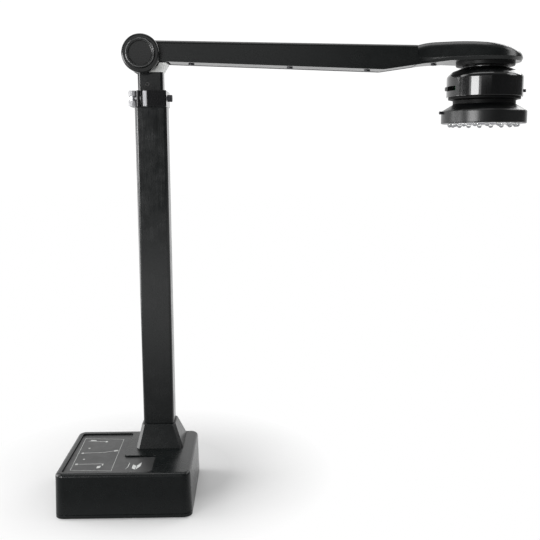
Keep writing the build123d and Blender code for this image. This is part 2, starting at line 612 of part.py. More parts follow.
def make_tension_knob():
    """Dished knob with a raised rim and two opposite grip notches."""
    knob = rod_y(KNOB_R, KNOB_FRONT, KNOB_SEAT)
    knob = fillet(knob.edges().filter_by(GeomType.CIRCLE).sort_by(Axis.Y)[0], 1.0)
    knob -= rod_y(DISH_R, 0, KNOB_FRONT + 2.2)
    inner_rim = [
        e for e in knob.edges().filter_by(GeomType.CIRCLE)
        if abs(e.radius - DISH_R) < 0.02 and e.center().Y < KNOB_FRONT + 0.1
    ]
    knob = fillet(inner_rim, 0.8)
    for angle in (75, 255):
        reach = KNOB_R - 1.4
        place = Pos(HUB_X + reach * cos(radians(angle)), KNOB_FRONT, HUB_Z + reach * sin(radians(angle)))
        knob -= place * Rot(0, -angle, 0) * Box(4.6, 2.4, 3.2)
    knob += rod_y(6.0, KNOB_SEAT, 11.6)
    return knob - rod_y(SHAFT_R + RUN, KNOB_SEAT - 0.3, 20)


def make_rear_disc():
    disc = hub_disc(ARM_BACK, ARM_BACK + 6, ARM_BACK + 6)
    return disc - rod_y(8.2, ARM_BACK - 1, ARM_BACK + 4.9)


def make_swivel_collar():
    collar = ring_z(COLLAR_R, SPINDLE_R + RUN, COLLAR_LOW, PADDLE_LOW)
    collar = fillet(rims(collar, COLLAR_R, COLLAR_LOW), 0.9)
    return collar + ring_z(9.55, SPINDLE_R + RUN, PADDLE_LOW, PADDLE_LOW + 2.4)


def make_arm_harness():
    """Flat cable along the inside of the arm's top wall."""
    cable = arm_slab(CAVITY_X0 + 3, NECK_X + 4, 0, WALL + 1.0, MAST_Y + 3.4, MAST_Y + 11.2)
    return cable - arm_slab(0, 320, -30, WALL + 2.2, 0, 60)


# ---- camera head --------------------------------------------------------------------------
SLIDE_Z0, SLIDE_Z1 = 401.8, 406.1
LOCK_Z, LOCK_ANGLE = 401.7, -15.0
LEVER_Z = 380.9
SENSOR_LOW = 399.0                              # underside of the camera's circuit board
GLASS_R = 5.6
POST_CIRCLE = 32.2                              # circle of the three chassis screws


def arc_block(r0, r1, a0, a1, z0, z1):
    """Piece of a ring between two angles, in degrees from +X."""
    middle, half = (a0 + a1) / 2, (a1 - a0) / 2
    reach = 60.0
    wedge_points = [(0, 0)]
    for angle in (middle - half, middle, middle + half):
        wedge_points.append((reach * cos(radians(angle)), reach * sin(radians(angle))))
    wedge = extrude(make_face(Polyline(*wedge_points, close=True)), z1 - z0)
    return ring_z(r1, r0, z0, z1) & (Pos(HEAD_X, HEAD_Y, z0) * wedge)


def make_swivel_spindle():
    """Hollow spindle on a flange, which the cable runs through."""
    spindle = rod_z(SPINDLE_R, 420.5, 437.0) + rod_z(17.0, 419.0, 422.2)
    return spindle - rod_z(6.0, 410, 440)


def make_swivel_washer():
    return ring_z(13.0, SPINDLE_R + 0.1, PADDLE_LOW + 2.6, PADDLE_LOW + 3.8)


def make_swivel_nut():
    nut = Pos(HEAD_X, HEAD_Y, PADDLE_LOW + 3.9) * extrude(RegularPolygon(14.0, 6), 3.4)
    return nut - rod_z(SPINDLE_R, 420, 440)


def make_head_shell():
    """Glossy upper body: short neck, domed shoulder and straight side."""
    shoulder_r, shoulder_z, brow_z = BODY_R - 4.7, 420.4, 415.6
    inside_r = BODY_R - 2.2
    outer = turned((0, 400), (0, BODY_TOP), (NECK_R, BODY_TOP), (NECK_R, 424.3), (shoulder_r, shoulder_z),
                   (BODY_R, brow_z), (BODY_R, BODY_LOW), (0, BODY_LOW))
    outer = fillet(rims(outer, BODY_R, brow_z) + rims(outer, shoulder_r, shoulder_z), 4.6)
    outer = fillet(rims(outer, BODY_R, BODY_LOW), 0.5)
    inner = turned((0, 390), (0, 422.2), (NECK_R - 1, 422.2), (shoulder_r - 1.6, 418.3),
                   (inside_r, 414.4), (inside_r, 390))
    shell = outer - inner - rod_z(SPINDLE_R + 0.2, 415, 430)
    for x, y in carrier_posts():
        shell += rod_z(3.0, 404.0, 413.0, x, y) - rod_z(1.3, 400, 411, x, y)
    shell -= arc_block(30, 45, 174.0, 206.0, SLIDE_Z0, SLIDE_Z1)
    return shell - at_lock_angle(rod_x(1.0 + RUN, HEAD_X + 30, HEAD_X + 50, HEAD_Y, LOCK_Z))


def at_lock_angle(solid):
    """Turn a solid about the swivel axis to where the lock screw is."""
    return Pos(HEAD_X, HEAD_Y, 0) * Rot(0, 0, LOCK_ANGLE) * Pos(-HEAD_X, -HEAD_Y, 0) * solid


def carrier_posts():
    places = []
    for step in range(3):
        angle = radians(30 + 120 * step)
        places.append((HEAD_X + POST_CIRCLE * cos(angle), HEAD_Y + POST_CIRCLE * sin(angle)))
    return places


def make_head_carrier():
    """Waisted chassis that closes the upper body and carries the lamp ring on its sleeve."""
    lip_r = BODY_R - 2.0
    carrier = turned((SLEEVE_R - 2, 376.0), (SLEEVE_R, 376.0), (SLEEVE_R, WAIST_LOW), (WAIST_R, WAIST_LOW),
                     (WAIST_R, 392.6), (lip_r - 1.9, 393.6), (lip_r, 393.8), (lip_r, 395.6),
                     (lip_r - 0.3, BODY_LOW), (lip_r - 0.3, 398.0), (SLEEVE_R - 2, 398.0))
    for x, y in carrier_posts():
        carrier += rod_z(2.2, 397.0, 403.9, x, y)
        carrier -= rod_z(1.5, 393, 404.5, x, y)
    return carrier


def make_carrier_screws():
    length = 15.0
    screw = Pos(0, 0, length / 2) * Cylinder(1.25, length) - extrude(RegularPolygon(0.7, 6), 2)
    return [Pos(x, y, 394.4) * screw for x, y in carrier_posts()]


def make_camera_board():
    board = rod_z(25.0, SENSOR_LOW, SENSOR_LOW + 1.6)
    board += block(HEAD_X - 6, HEAD_X + 6, HEAD_Y - 6, HEAD_Y + 6, SENSOR_LOW + 1.6, SENSOR_LOW + 3.0)
    board += block(HEAD_X + 10, HEAD_X + 20, HEAD_Y - 6, HEAD_Y + 6, SENSOR_LOW + 1.6, SENSOR_LOW + 4.2)
    return board


def make_board_bracket():
    """Ring that clamps the camera board on the chassis."""
    bracket = ring_z(BODY_R - 3, 23.0, SENSOR_LOW - 1, SENSOR_LOW)
    bracket += ring_z(26.7, 25.1, SENSOR_LOW - 1, SENSOR_LOW + 1.6)
    for x, y in carrier_posts():
        bracket -= rod_z(2.7, 390, 410, x, y)
    return bracket


def make_lens_holder():
    holder = block(HEAD_X - 10, HEAD_X + 10, HEAD_Y - 10, HEAD_Y + 10, 392.0, SENSOR_LOW)
    holder = fillet(holder.edges().filter_by(Axis.Z), 2.0)
    holder += rod_z(9.0, 385.0, 392.0)
    return holder - rod_z(7.0, 380, 397)


def make_lens_barrel():
    """Threaded lens barrel, open at the front for the glass."""
    barrel = rod_z(7.0, 376.0, 396.0) + rod_z(8.6, 372.6, 380.0)
    barrel -= rod_z(GLASS_R, 378.0, 400.0)
    return barrel - Pos(HEAD_X, HEAD_Y, 375.2) * Cone(7.6, GLASS_R, 5.6)


def make_lens_glass():
    glass = rod_z(GLASS_R, 378.0, 381.0)
    dome = Pos(HEAD_X, HEAD_Y, 388.2) * Sphere(11.6)
    return (rod_z(GLASS_R, 376.0, 381.0) & dome) + glass


def make_slide_board():
    return arc_block(29.0, 30.6, 176.0, 206.0, SENSOR_LOW + 0.3, 412.0)


def make_brightness_slide():
    """Ribbed thumb slide for the lamp brightness, which moves round the body's side."""
    tip = BODY_R + 1.9
    slide = arc_block(BODY_R - 4.4, tip, 175.0, 189.0, SLIDE_Z0 + 0.35, SLIDE_Z1 - 0.35)
    for step in range(5):
        angle = 176.2 + 2.6 * step
        slide -= arc_block(tip - 0.8, tip + 1, angle, angle + 1.2, 390, 420)
    return slide


def make_lock_screw():
    start = HEAD_X + BODY_R
    screw = rod_x(1.0, start - 5, start + 0.3, HEAD_Y, LOCK_Z)
    head = rod_x(1.5, start + 0.1, start + 2.4, HEAD_Y, LOCK_Z)
    head = chamfer(head.edges().filter_by(GeomType.CIRCLE).sort_by(Axis.X)[-1], 0.3)
    slot = block(start + 1.9, start + 3, HEAD_Y - 2, HEAD_Y + 2, LOCK_Z - 0.2, LOCK_Z + 0.2)
    return at_lock_angle(screw + head - slot)


def make_lamp_ring():
    """Flared ring below the waist, open underneath, which turns on the chassis's sleeve."""
    bore, bowl = SLEEVE_R + RUN, RING_R - 2.1
    ring = turned((bore, 377.0), (bore, WAIST_LOW - FREE), (WAIST_R + 0.2, WAIST_LOW - FREE),
                  (RING_R, RING_TOP), (RING_R, RING_LOW), (bowl, RING_LOW), (bowl, 377.0))
    ring = fillet(rims(ring, RING_R, RING_TOP), 1.6)
    ring = fillet(rims(ring, RING_R, RING_LOW), 1.0)
    return ring - rod_x(1.0, HEAD_X - 50, HEAD_X - RING_R + 4, HEAD_Y, LEVER_Z)


def make_focus_lever():
    """Small stud on the ring's left side, by which the ring is turned."""
    tip = HEAD_X - RING_R
    stud = rod_x(1.0, tip - 0.6, tip + 4, HEAD_Y, LEVER_Z)
    knob = rod_x(1.5, tip - 3.2, tip - 0.2, HEAD_Y, LEVER_Z)
    return stud + fillet(knob.edges().filter_by(GeomType.CIRCLE).sort_by(Axis.X)[0], 0.5)


def led_places():
    places = []
    for step in range(LED_COUNT):
        angle = radians(360 / LED_COUNT * step)
        places.append((HEAD_X + LED_CIRCLE * cos(angle), HEAD_Y + LED_CIRCLE * sin(angle)))
    return places


def make_lamp_board():
    return ring_z(RING_R - 2.3, 17.0, 373.6, 375.0)


def make_face_plate():
    """Flat annular face with a hole for each lamp and a bevelled window for the lens."""
    low = RING_LOW + 0.15
    plate = ring_z(RING_R - 2.2, 15.0, low, 372.8)
    plate -= Pos(HEAD_X, HEAD_Y, low + 0.6) * Cone(16.6, 15.0, 1.3)
    for x, y in led_places():
        plate -= rod_z(LED_R + 0.1, 370, 374, x, y)
    return plate


def make_lamps():
    """Round-nosed lamps standing out of the face."""
    lamps = []
    for x, y in led_places():
        nose = Pos(x, y, RING_LOW - 0.8) * Sphere(LED_R)
        lamps.append(rod_z(LED_R, RING_LOW - 0.8, 373.6, x, y) + nose)
    return lamps


# ---- write every piece --------------------------------------------------------------------
PIECES = {
    "base_pad": make_base_pad,
    "base_tray": make_base_tray,
    "base_shell": make_base_shell,
    "base_screws": make_base_screws,
    "ballast_block": make_ballast_block,
    "ballast_screws": make_ballast_screws,
    "main_board": make_main_board,
    "board_posts": make_board_posts,
    "usb_socket": make_usb_socket,
    "usb_tongue": make_usb_tongue,
    "power_socket": make_power_socket,
    "power_pin": make_power_pin,
    "label_panel": make_label_panel,
    "foot_block": make_foot_block,
    "foot_screws": make_foot_screws,
    "foot_collar": make_foot_collar,
    "outer_tube": make_outer_tube,
    "mouth_bush": make_mouth_bush,
    "clamp_band": make_clamp_band,
    "clamp_bolt": make_clamp_bolt,
    "clamp_nut": make_clamp_nut,
    "lever_pin": make_lever_pin,
    "clamp_lever": make_clamp_lever,
    "inner_tube": make_inner_tube,
    "stop_plug": make_stop_plug,
    "glide_shoe": make_glide_shoe,
    "mast_head": make_mast_head,
    "mast_screws": make_mast_screws,
    "hinge_shaft": make_hinge_shaft,
    "friction_washers": make_friction_washers,
    "spring_washer": make_spring_washer,
    "hinge_nut": make_hinge_nut,
    "arm_shell": make_arm_shell,
    "arm_cover": make_arm_cover,
    "arm_screws": make_arm_screws,
    "arm_harness": make_arm_harness,
    "paddle_cap": make_paddle_cap,
    "front_disc": make_front_disc,
    "tension_knob": make_tension_knob,
    "rear_disc": make_rear_disc,
    "swivel_collar": make_swivel_collar,
    "swivel_spindle": make_swivel_spindle,
    "swivel_washer": make_swivel_washer,
    "swivel_nut": make_swivel_nut,
    "head_shell": make_head_shell,
    "head_carrier": make_head_carrier,
    "carrier_screws": make_carrier_screws,
    "camera_board": make_camera_board,
    "board_bracket": make_board_bracket,
    "lens_holder": make_lens_holder,
    "lens_barrel": make_lens_barrel,
    "lens_glass": make_lens_glass,
    "slide_board": make_slide_board,
    "brightness_slide": make_brightness_slide,
    "lock_screw": make_lock_screw,
    "lamp_ring": make_lamp_ring,
    "focus_lever": make_focus_lever,
    "lamp_board": make_lamp_board,
    "face_plate": make_face_plate,
    "lamps": make_lamps,
}

os.makedirs("parts", exist_ok=True)
for name, make in PIECES.items():
    piece = make()
    if isinstance(piece, list):
        piece = Compound(children=piece)
    export_step(piece, f"parts/{name}.step")
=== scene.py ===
import json
from math import cos, pi, radians, sin

import bmesh
import bpy
from mathutils import Matrix, Vector


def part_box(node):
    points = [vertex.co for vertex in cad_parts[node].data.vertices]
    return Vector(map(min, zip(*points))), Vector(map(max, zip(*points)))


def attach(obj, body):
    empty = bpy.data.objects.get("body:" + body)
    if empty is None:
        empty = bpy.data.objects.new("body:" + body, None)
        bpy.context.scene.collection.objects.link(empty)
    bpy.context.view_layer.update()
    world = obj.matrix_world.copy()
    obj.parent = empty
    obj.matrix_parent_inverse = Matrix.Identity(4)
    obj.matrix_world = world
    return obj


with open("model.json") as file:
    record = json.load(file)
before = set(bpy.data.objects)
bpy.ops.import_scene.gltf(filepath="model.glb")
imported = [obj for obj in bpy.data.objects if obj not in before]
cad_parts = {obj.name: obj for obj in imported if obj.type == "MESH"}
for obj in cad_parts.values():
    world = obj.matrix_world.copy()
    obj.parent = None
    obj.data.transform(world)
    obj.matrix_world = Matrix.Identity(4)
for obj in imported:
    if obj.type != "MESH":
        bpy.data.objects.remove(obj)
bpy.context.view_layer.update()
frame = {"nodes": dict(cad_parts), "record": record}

# Looks of the book scanner: a finish for every CAD node, the printed marks, the small parts in
# the sockets, lamps and lens, a pale strip of painted highlight on the clamp, the knob's bead,
# and a plain studio.
# All lengths are in metres.
MM = 0.001

# Noise seldom leaves the middle of 0 to 1. These are the stretches of it that are spread out.
SOFT, HARD = (0.3, 0.7), (0.35, 0.65)
WHOLE = (0.0, 1.0)


# ---- material building blocks -------------------------------------------------------------

def new_material(name):
    """A node material, its tree and its principled shader."""
    material = bpy.data.materials.new(name)
    material.use_nodes = True
    return material, material.node_tree, material.node_tree.nodes["Principled BSDF"]


def set_inputs(node, values):
    """Constant values for a node's sockets, by name."""
    for key, value in values.items():
        node.inputs[key].default_value = value


def place(tree, stretch=(1, 1, 1)):
    """Coordinates fixed to the piece, scaled along its axes."""
    coordinates = tree.nodes.new("ShaderNodeTexCoord")
    mapping = tree.nodes.new("ShaderNodeMapping")
    mapping.inputs["Scale"].default_value = stretch
    tree.links.new(coordinates.outputs["Object"], mapping.inputs["Vector"])
    return mapping.outputs["Vector"]


def noise(tree, where, size, detail=2.0, roughness=0.5):
    """Noise whose blotches are about size across."""
    node = tree.nodes.new("ShaderNodeTexNoise")
    set_inputs(node, {"Scale": 0.5 / size, "Detail": detail, "Roughness": roughness})
    tree.links.new(where, node.inputs["Vector"])
    return node.outputs["Fac"]


def cells(tree, where, size, feature="F1"):
    """Distances in a pattern of cells that are about size across."""
    node = tree.nodes.new("ShaderNodeTexVoronoi")
    node.feature = feature
    node.inputs["Scale"].default_value = 1.0 / size
    tree.links.new(where, node.inputs["Vector"])
    return node.outputs["Distance"]


def between(tree, value, source, target=WHOLE):
    """A value moved from one range to another and kept inside it."""
    node = tree.nodes.new("ShaderNodeMapRange")
    set_inputs(node, {"From Min": source[0], "From Max": source[1]})
    set_inputs(node, {"To Min": target[0], "To Max": target[1]})
    tree.links.new(value, node.inputs["Value"])
    return node.outputs["Result"]


def calc(tree, operation, a, b):
    """Sum, product or other operation on two values, each a socket or a number."""
    node = tree.nodes.new("ShaderNodeMath")
    node.operation = operation
    for socket, value in zip(node.inputs, (a, b)):
        if isinstance(value, (int, float)):
            socket.default_value = value
        else:
            tree.links.new(value, socket)
    return node.outputs[0]


def mixed(tree, factor, a, b):
    """Colour a where the factor is 0 and b where it is 1."""
    node = tree.nodes.new("ShaderNodeMix")
    node.data_type = "RGBA"
    tree.links.new(factor, node.inputs["Factor"])
    colours = [socket for socket in node.inputs if socket.type == "RGBA"]
    for socket, value in zip(colours, (a, b)):
        if isinstance(value, tuple):
            socket.default_value = (*value, 1.0)
        else:
            tree.links.new(value, socket)
    return next(socket for socket in node.outputs if socket.type == "RGBA")


def shade(color, factor, lift=0.0):
    """A colour made darker or lighter, but never lighter than white."""
    return tuple(min(c * factor + lift, 1.0) for c in color)


def normals(tree):
    """Normals of the mesh as it is, without bumps."""
    return tree.nodes.new("ShaderNodeNewGeometry").outputs["Normal"]


def soft_edges(tree, radius):
    """Normals that round every sharp edge by a small radius, as a mould or a deburred cut does."""
    bevel = tree.nodes.new("ShaderNodeBevel")
    bevel.samples = 6
    bevel.inputs["Radius"].default_value = radius
    return bevel.outputs["Normal"]


EDGE_COSINES = (0.999, 0.90)    # between mesh and rounded normals: off the edge, and on it
UPWARD = (0.5, 0.98)            # height of the normal's tip: steep faces, and level ones


def edge_mask(tree, rounded):
    """1 along the edges and 0 on open faces."""
    dot = tree.nodes.new("ShaderNodeVectorMath")
    dot.operation = "DOT_PRODUCT"
    tree.links.new(rounded, dot.inputs[0])
    tree.links.new(normals(tree), dot.inputs[1])
    return between(tree, dot.outputs["Value"], EDGE_COSINES)


def facing_up(tree):
    """1 on faces that look up, where dust settles."""
    split = tree.nodes.new("ShaderNodeSeparateXYZ")
    tree.links.new(normals(tree), split.inputs[0])
    return between(tree, split.outputs["Z"], UPWARD)


def bump(tree, height, depth, normal=None):
    """Normals that follow a height, on top of other normals."""
    node = tree.nodes.new("ShaderNodeBump")
    node.inputs["Distance"].default_value = depth
    tree.links.new(height, node.inputs["Height"])
    if normal is not None:
        tree.links.new(normal, node.inputs["Normal"])
    return node.outputs["Normal"]


# ---- kinds of finish ----------------------------------------------------------------------
BLOTCH, SMUDGE, RUB, SPECK = 22 * MM, 4 * MM, 3 * MM, 0.5 * MM     # sizes of the marks on plastic
CELL_RATIO = 1.6                                # size of the grain's cells against its noise
MOTTLE, WORN_LIFT = 1.25, 0.06                  # how much paler the mottled and the worn plastic is
DRIFT, SMOOTHER, ROUGHER = 0.05, 0.03, 0.05     # how far its roughness strays
RUBBED, WORN_THROUGH = (0.4, 0.65), (0.2, 1.0)
SPECKLED, DUSTY_PATCH = (0.62, 0.72), (0.4, 0.65)
DUST_TONE = (0.32, 0.31, 0.29)


def rubbed_edges(tree, where, rounded, tone, paler, wear):
    """A tone that turns paler in patches along the edges, where hands have rubbed them."""
    patches = between(tree, noise(tree, where, RUB, detail=4.0), RUBBED, WORN_THROUGH)
    rubbed = calc(tree, "MULTIPLY", edge_mask(tree, rounded), patches)
    return mixed(tree, calc(tree, "MULTIPLY", rubbed, wear), tone, paler)


def dusted(tree, where, broad, tone, dust):
    """A tone with fine specks of dust on the faces that look up, thicker in broad patches."""
    specks = between(tree, noise(tree, where, SPECK, roughness=0.7), SPECKLED)
    specks_up = calc(tree, "MULTIPLY", specks, facing_up(tree))
    settled = calc(tree, "MULTIPLY", specks_up, between(tree, broad, DUSTY_PATCH, (0.0, dust)))
    return mixed(tree, settled, tone, DUST_TONE)


def plastic(name, color, roughness, grain, depth, edge=0.25 * MM, wear=0.35, dust=0.25, patchy=1.0,
            specular=0.5):
    """Moulded plastic: spark-eroded grain, uneven gloss, paler rubbed edges and a little dust."""
    material, tree, shader = new_material(name)
    where = place(tree)
    rounded = soft_edges(tree, edge)
    broad = noise(tree, where, BLOTCH, detail=3.0)
    smudges = noise(tree, where, SMUDGE, detail=4.0, roughness=0.65)
    tone = mixed(tree, between(tree, smudges, SOFT), color, shade(color, MOTTLE))
    tone = rubbed_edges(tree, where, rounded, tone, shade(color, 1.0, WORN_LIFT * wear), wear)
    tone = dusted(tree, where, broad, tone, dust)
    tree.links.new(tone, shader.inputs["Base Color"])
    drift = between(tree, broad, SOFT, (-DRIFT * patchy, DRIFT * patchy))
    smeared = between(tree, smudges, HARD, (roughness - SMOOTHER * patchy, roughness + ROUGHER * patchy))
    tree.links.new(calc(tree, "ADD", drift, smeared), shader.inputs["Roughness"])
    coarse = noise(tree, where, grain, detail=3.0, roughness=0.6)
    grained = calc(tree, "ADD", coarse, cells(tree, where, grain * CELL_RATIO))
    tree.links.new(bump(tree, grained, depth, rounded), shader.inputs["Normal"])
    shader.inputs["Specular IOR Level"].default_value = specular
    return material


HANDLED, OXIDE = 6 * MM, 0.88                   # size of the handling marks, and how dark oxide is
BARE, BARE_LIFT, BARE_SHARE = 1.3, 0.02, 0.5    # how much paler edges are, and how much it shows
METAL_DRIFT, METAL_SMEAR = 0.05, 0.04           # how far the roughness strays


def metal(name, color, roughness, grain, depth, stretch=(1, 1, 1), edge=0.2 * MM, metallic=1.0,
          specular=0.5):
    """Metal with a blasted or drawn surface, and uneven oxide and handling marks."""
    material, tree, shader = new_material(name)
    rounded = soft_edges(tree, edge)
    drawn = noise(tree, place(tree, stretch), grain, detail=3.0, roughness=0.6)
    smudges = noise(tree, place(tree), HANDLED, detail=4.0, roughness=0.6)
    tone = mixed(tree, between(tree, smudges, SOFT), shade(color, OXIDE), color)
    bare = calc(tree, "MULTIPLY", edge_mask(tree, rounded), BARE_SHARE)
    tone = mixed(tree, bare, tone, shade(color, BARE, BARE_LIFT))
    tree.links.new(tone, shader.inputs["Base Color"])
    streaks = between(tree, drawn, SOFT, (-METAL_DRIFT, METAL_DRIFT))
    smeared = between(tree, smudges, HARD, (roughness - METAL_SMEAR, roughness + METAL_SMEAR))
    tree.links.new(calc(tree, "ADD", streaks, smeared), shader.inputs["Roughness"])
    tree.links.new(bump(tree, drawn, depth, rounded), shader.inputs["Normal"])
    set_inputs(shader, {"Metallic": metallic, "Specular IOR Level": specular})
    return material


RIPPLE, SMEAR, SWIRL = 9 * MM, 5 * MM, 0.4 * MM     # sizes of the marks on polished plastic
RIPPLE_DEPTH, COAT_DEPTH, SWIRL_DEPTH = 0.02 * MM, 0.015 * MM, 0.004 * MM
SMEAR_STRETCH, SWIRL_STRETCH = (1, 1, 0.35), (1, 1, 0.08)
SMEAR_TONE, SMEAR_HAZE = 1.3, 0.1                   # how much paler and rougher the smears are
COAT = {"Coat Roughness": 0.07, "Coat IOR": 1.55, "Specular IOR Level": 0.12}


def polished(name, color, roughness, coat, edge=0.25 * MM):
    """Polished plastic under a clear hard coat, with faint polishing swirls and smears."""
    material, tree, shader = new_material(name)
    rounded = soft_edges(tree, edge)
    ripple = noise(tree, place(tree), RIPPLE, detail=1.0)
    smears = noise(tree, place(tree, SMEAR_STRETCH), SMEAR, detail=4.0, roughness=0.6)
    swirls = noise(tree, place(tree, SWIRL_STRETCH), SWIRL)
    tone = mixed(tree, between(tree, smears, HARD), color, shade(color, SMEAR_TONE))
    tree.links.new(tone, shader.inputs["Base Color"])
    gloss = between(tree, smears, SOFT, (roughness, roughness + SMEAR_HAZE))
    tree.links.new(gloss, shader.inputs["Roughness"])
    rippled = bump(tree, ripple, RIPPLE_DEPTH, rounded)
    tree.links.new(bump(tree, swirls, SWIRL_DEPTH, rippled), shader.inputs["Normal"])
    tree.links.new(bump(tree, ripple, COAT_DEPTH, rounded), shader.inputs["Coat Normal"])
    set_inputs(shader, {"Coat Weight": coat, **COAT})
    return material


EPOXY_IOR, GLASS_IOR, FILM_IOR = 1.53, 1.7, 1.38
FILM_DUST, CAST_RIPPLE, TINT_PATCH = 0.8 * MM, 1.5 * MM, 2 * MM     # sizes of the marks on clear pieces
CAST_DEPTH, DUST_HAZE, TINT_SHADE = 0.003 * MM, 0.08, 0.94
DUST_SPREAD = (0.45, 0.75)


def clear(name, tint, ior, roughness, film=0.0):
    """Cast clear epoxy or ground glass, with the faintest ripple, a trace of dust and any thin film."""
    material, tree, shader = new_material(name)
    where = place(tree)
    dust = noise(tree, where, FILM_DUST, detail=4.0, roughness=0.7)
    gloss = between(tree, dust, DUST_SPREAD, (roughness, roughness + DUST_HAZE))
    tree.links.new(gloss, shader.inputs["Roughness"])
    ripple = noise(tree, where, CAST_RIPPLE)
    tree.links.new(bump(tree, ripple, CAST_DEPTH), shader.inputs["Normal"])
    tone = mixed(tree, noise(tree, where, TINT_PATCH), tint, shade(tint, TINT_SHADE))
    tree.links.new(tone, shader.inputs["Base Color"])
    set_inputs(shader, {"Transmission Weight": 1.0, "IOR": ior})
    set_inputs(shader, {"Thin Film Thickness": film, "Thin Film IOR": FILM_IOR})
    return material


CELL, TRACK_RISE, BOARD_EDGE = 2.4 * MM, 0.03 * MM, 0.15 * MM       # a cell holds one pad
BOARD_PATCH, BOARD_GLOSS = 3 * MM, (0.22, 0.36)
MASK_TONE, TRACK_TONE, PAD_TONE = (0.006, 0.06, 0.02), (0.02, 0.14, 0.045), (0.6, 0.6, 0.58)
TRACK_EDGE, PAD_EDGE = (0.03, 0.07), (0.16, 0.2)    # where tracks and pads end, in cells
NONE_BEYOND = (1.0, 0.0)


def circuit(name):
    """Solder mask over etched copper tracks, with tinned pads."""
    material, tree, shader = new_material(name)
    where = place(tree)
    tracks = between(tree, cells(tree, where, CELL, "DISTANCE_TO_EDGE"), TRACK_EDGE, NONE_BEYOND)
    pads = between(tree, cells(tree, where, CELL), PAD_EDGE, NONE_BEYOND)
    tone = mixed(tree, tracks, MASK_TONE, TRACK_TONE)
    tone = mixed(tree, pads, tone, PAD_TONE)
    tree.links.new(tone, shader.inputs["Base Color"])
    tree.links.new(pads, shader.inputs["Metallic"])
    gloss = between(tree, noise(tree, where, BOARD_PATCH), SOFT, BOARD_GLOSS)
    tree.links.new(gloss, shader.inputs["Roughness"])
    raised = calc(tree, "ADD", tracks, pads)
    etched = bump(tree, raised, TRACK_RISE, soft_edges(tree, BOARD_EDGE))
    tree.links.new(etched, shader.inputs["Normal"])
    return material


# ---- finishes -----------------------------------------------------------------------------
LINES_UP = (1, 1, 0.02)                             # stretches the grain along a drawn tube
LINES_ACROSS = (0.03, 1, 1)

FINISHES = {
    "base_black": plastic("satin_black_moulding", (0.0040, 0.0050, 0.0051), roughness=0.26,
                          grain=0.35 * MM, depth=0.005 * MM, patchy=0.5, specular=0.30),
    "label_black": plastic("printed_film", (0.022, 0.0225, 0.0225), roughness=0.42,
                           grain=0.12 * MM, depth=0.006 * MM, edge=0.1 * MM, wear=0.1),
    "foot_rubber": plastic("foot_rubber", (0.014, 0.014, 0.014), roughness=0.72,
                           grain=0.6 * MM, depth=0.05 * MM, edge=0.4 * MM, dust=0.5, specular=0.3),
    "screw_steel": metal("zinc_steel", (0.55, 0.55, 0.57), roughness=0.30,
                         grain=0.4 * MM, depth=0.01 * MM),
    "black_steel": metal("black_oxide_steel", (0.05, 0.05, 0.055), roughness=0.38,
                         grain=0.3 * MM, depth=0.012 * MM, metallic=0.8),
    "ballast_iron": metal("cast_iron", (0.16, 0.155, 0.15), roughness=0.65,
                          grain=1.2 * MM, depth=0.12 * MM, metallic=0.9),
    "circuit_green": circuit("circuit_board"),
    "port_shell": metal("bright_plating", (0.66, 0.66, 0.68), roughness=0.22,
                        grain=0.3 * MM, depth=0.004 * MM, stretch=LINES_ACROSS),
    "contact_brass": metal("gold_plated_brass", (0.78, 0.55, 0.22), roughness=0.22,
                           grain=0.3 * MM, depth=0.004 * MM),
    "tongue_white": plastic("white_moulding", (0.72, 0.72, 0.70), roughness=0.4,
                            grain=0.3 * MM, depth=0.006 * MM, dust=0.1),
    "mast_anodised": metal("black_anodised_tube", (0.0052, 0.0062, 0.0064), roughness=0.22,
                           grain=0.18 * MM, depth=0.001 * MM, stretch=LINES_UP, metallic=0.0),
    "raw_aluminium": metal("blasted_aluminium", (0.78, 0.79, 0.77), roughness=0.50,
                           grain=0.25 * MM, depth=0.02 * MM, edge=0.35 * MM, metallic=0.35),
    "bush_nylon": plastic("black_nylon", (0.022, 0.022, 0.022), roughness=0.5,
                          grain=0.5 * MM, depth=0.015 * MM),
    "clamp_black": polished("glossy_clamp", (0.003, 0.003, 0.0035), roughness=0.22, coat=0.8,
                            edge=0.4 * MM),
    "lever_grey": plastic("pale_grey_lever", (0.27, 0.27, 0.28), roughness=0.3,
                          grain=0.3 * MM, depth=0.003 * MM, edge=0.4 * MM, dust=0.0, specular=0.6),
    "arm_black": plastic("satin_arm_moulding", (0.0042, 0.0051, 0.0051), roughness=0.25,
                         grain=0.3 * MM, depth=0.0015 * MM, edge=0.2 * MM, patchy=0.4),
    "disc_black": plastic("satin_hub_moulding", (0.0060, 0.0066, 0.0066), roughness=0.15,
                          grain=0.25 * MM, depth=0.0005 * MM, wear=0.0, patchy=0.2),
    "cable_black": plastic("cable_jacket", (0.016, 0.016, 0.016), roughness=0.55,
                           grain=0.5 * MM, depth=0.02 * MM),
    "head_gloss": polished("polished_head", (0.0018, 0.0020, 0.0022), roughness=0.30, coat=1.0,
                           edge=0.3 * MM),
    "ring_black": plastic("satin_ring_moulding", (0.0020, 0.0023, 0.0025), roughness=0.30,
                          grain=0.2 * MM, depth=0.0012 * MM, edge=0.15 * MM, wear=0.0, patchy=0.3),
    "switch_black": plastic("thumb_slide", (0.004, 0.004, 0.004), roughness=0.3,
                            grain=0.25 * MM, depth=0.01 * MM, edge=0.12 * MM),
    "face_grey": plastic("matt_grey_face", (0.16, 0.16, 0.18), roughness=0.25,
                         grain=0.25 * MM, depth=0.002 * MM, edge=0.1 * MM),
    "lens_glass": clear("coated_lens", (0.93, 0.95, 1.0), GLASS_IOR, roughness=0.0, film=420.0),
    "lamp_clear": clear("clear_epoxy", (0.97, 0.98, 0.96), EPOXY_IOR, roughness=0.01),
}
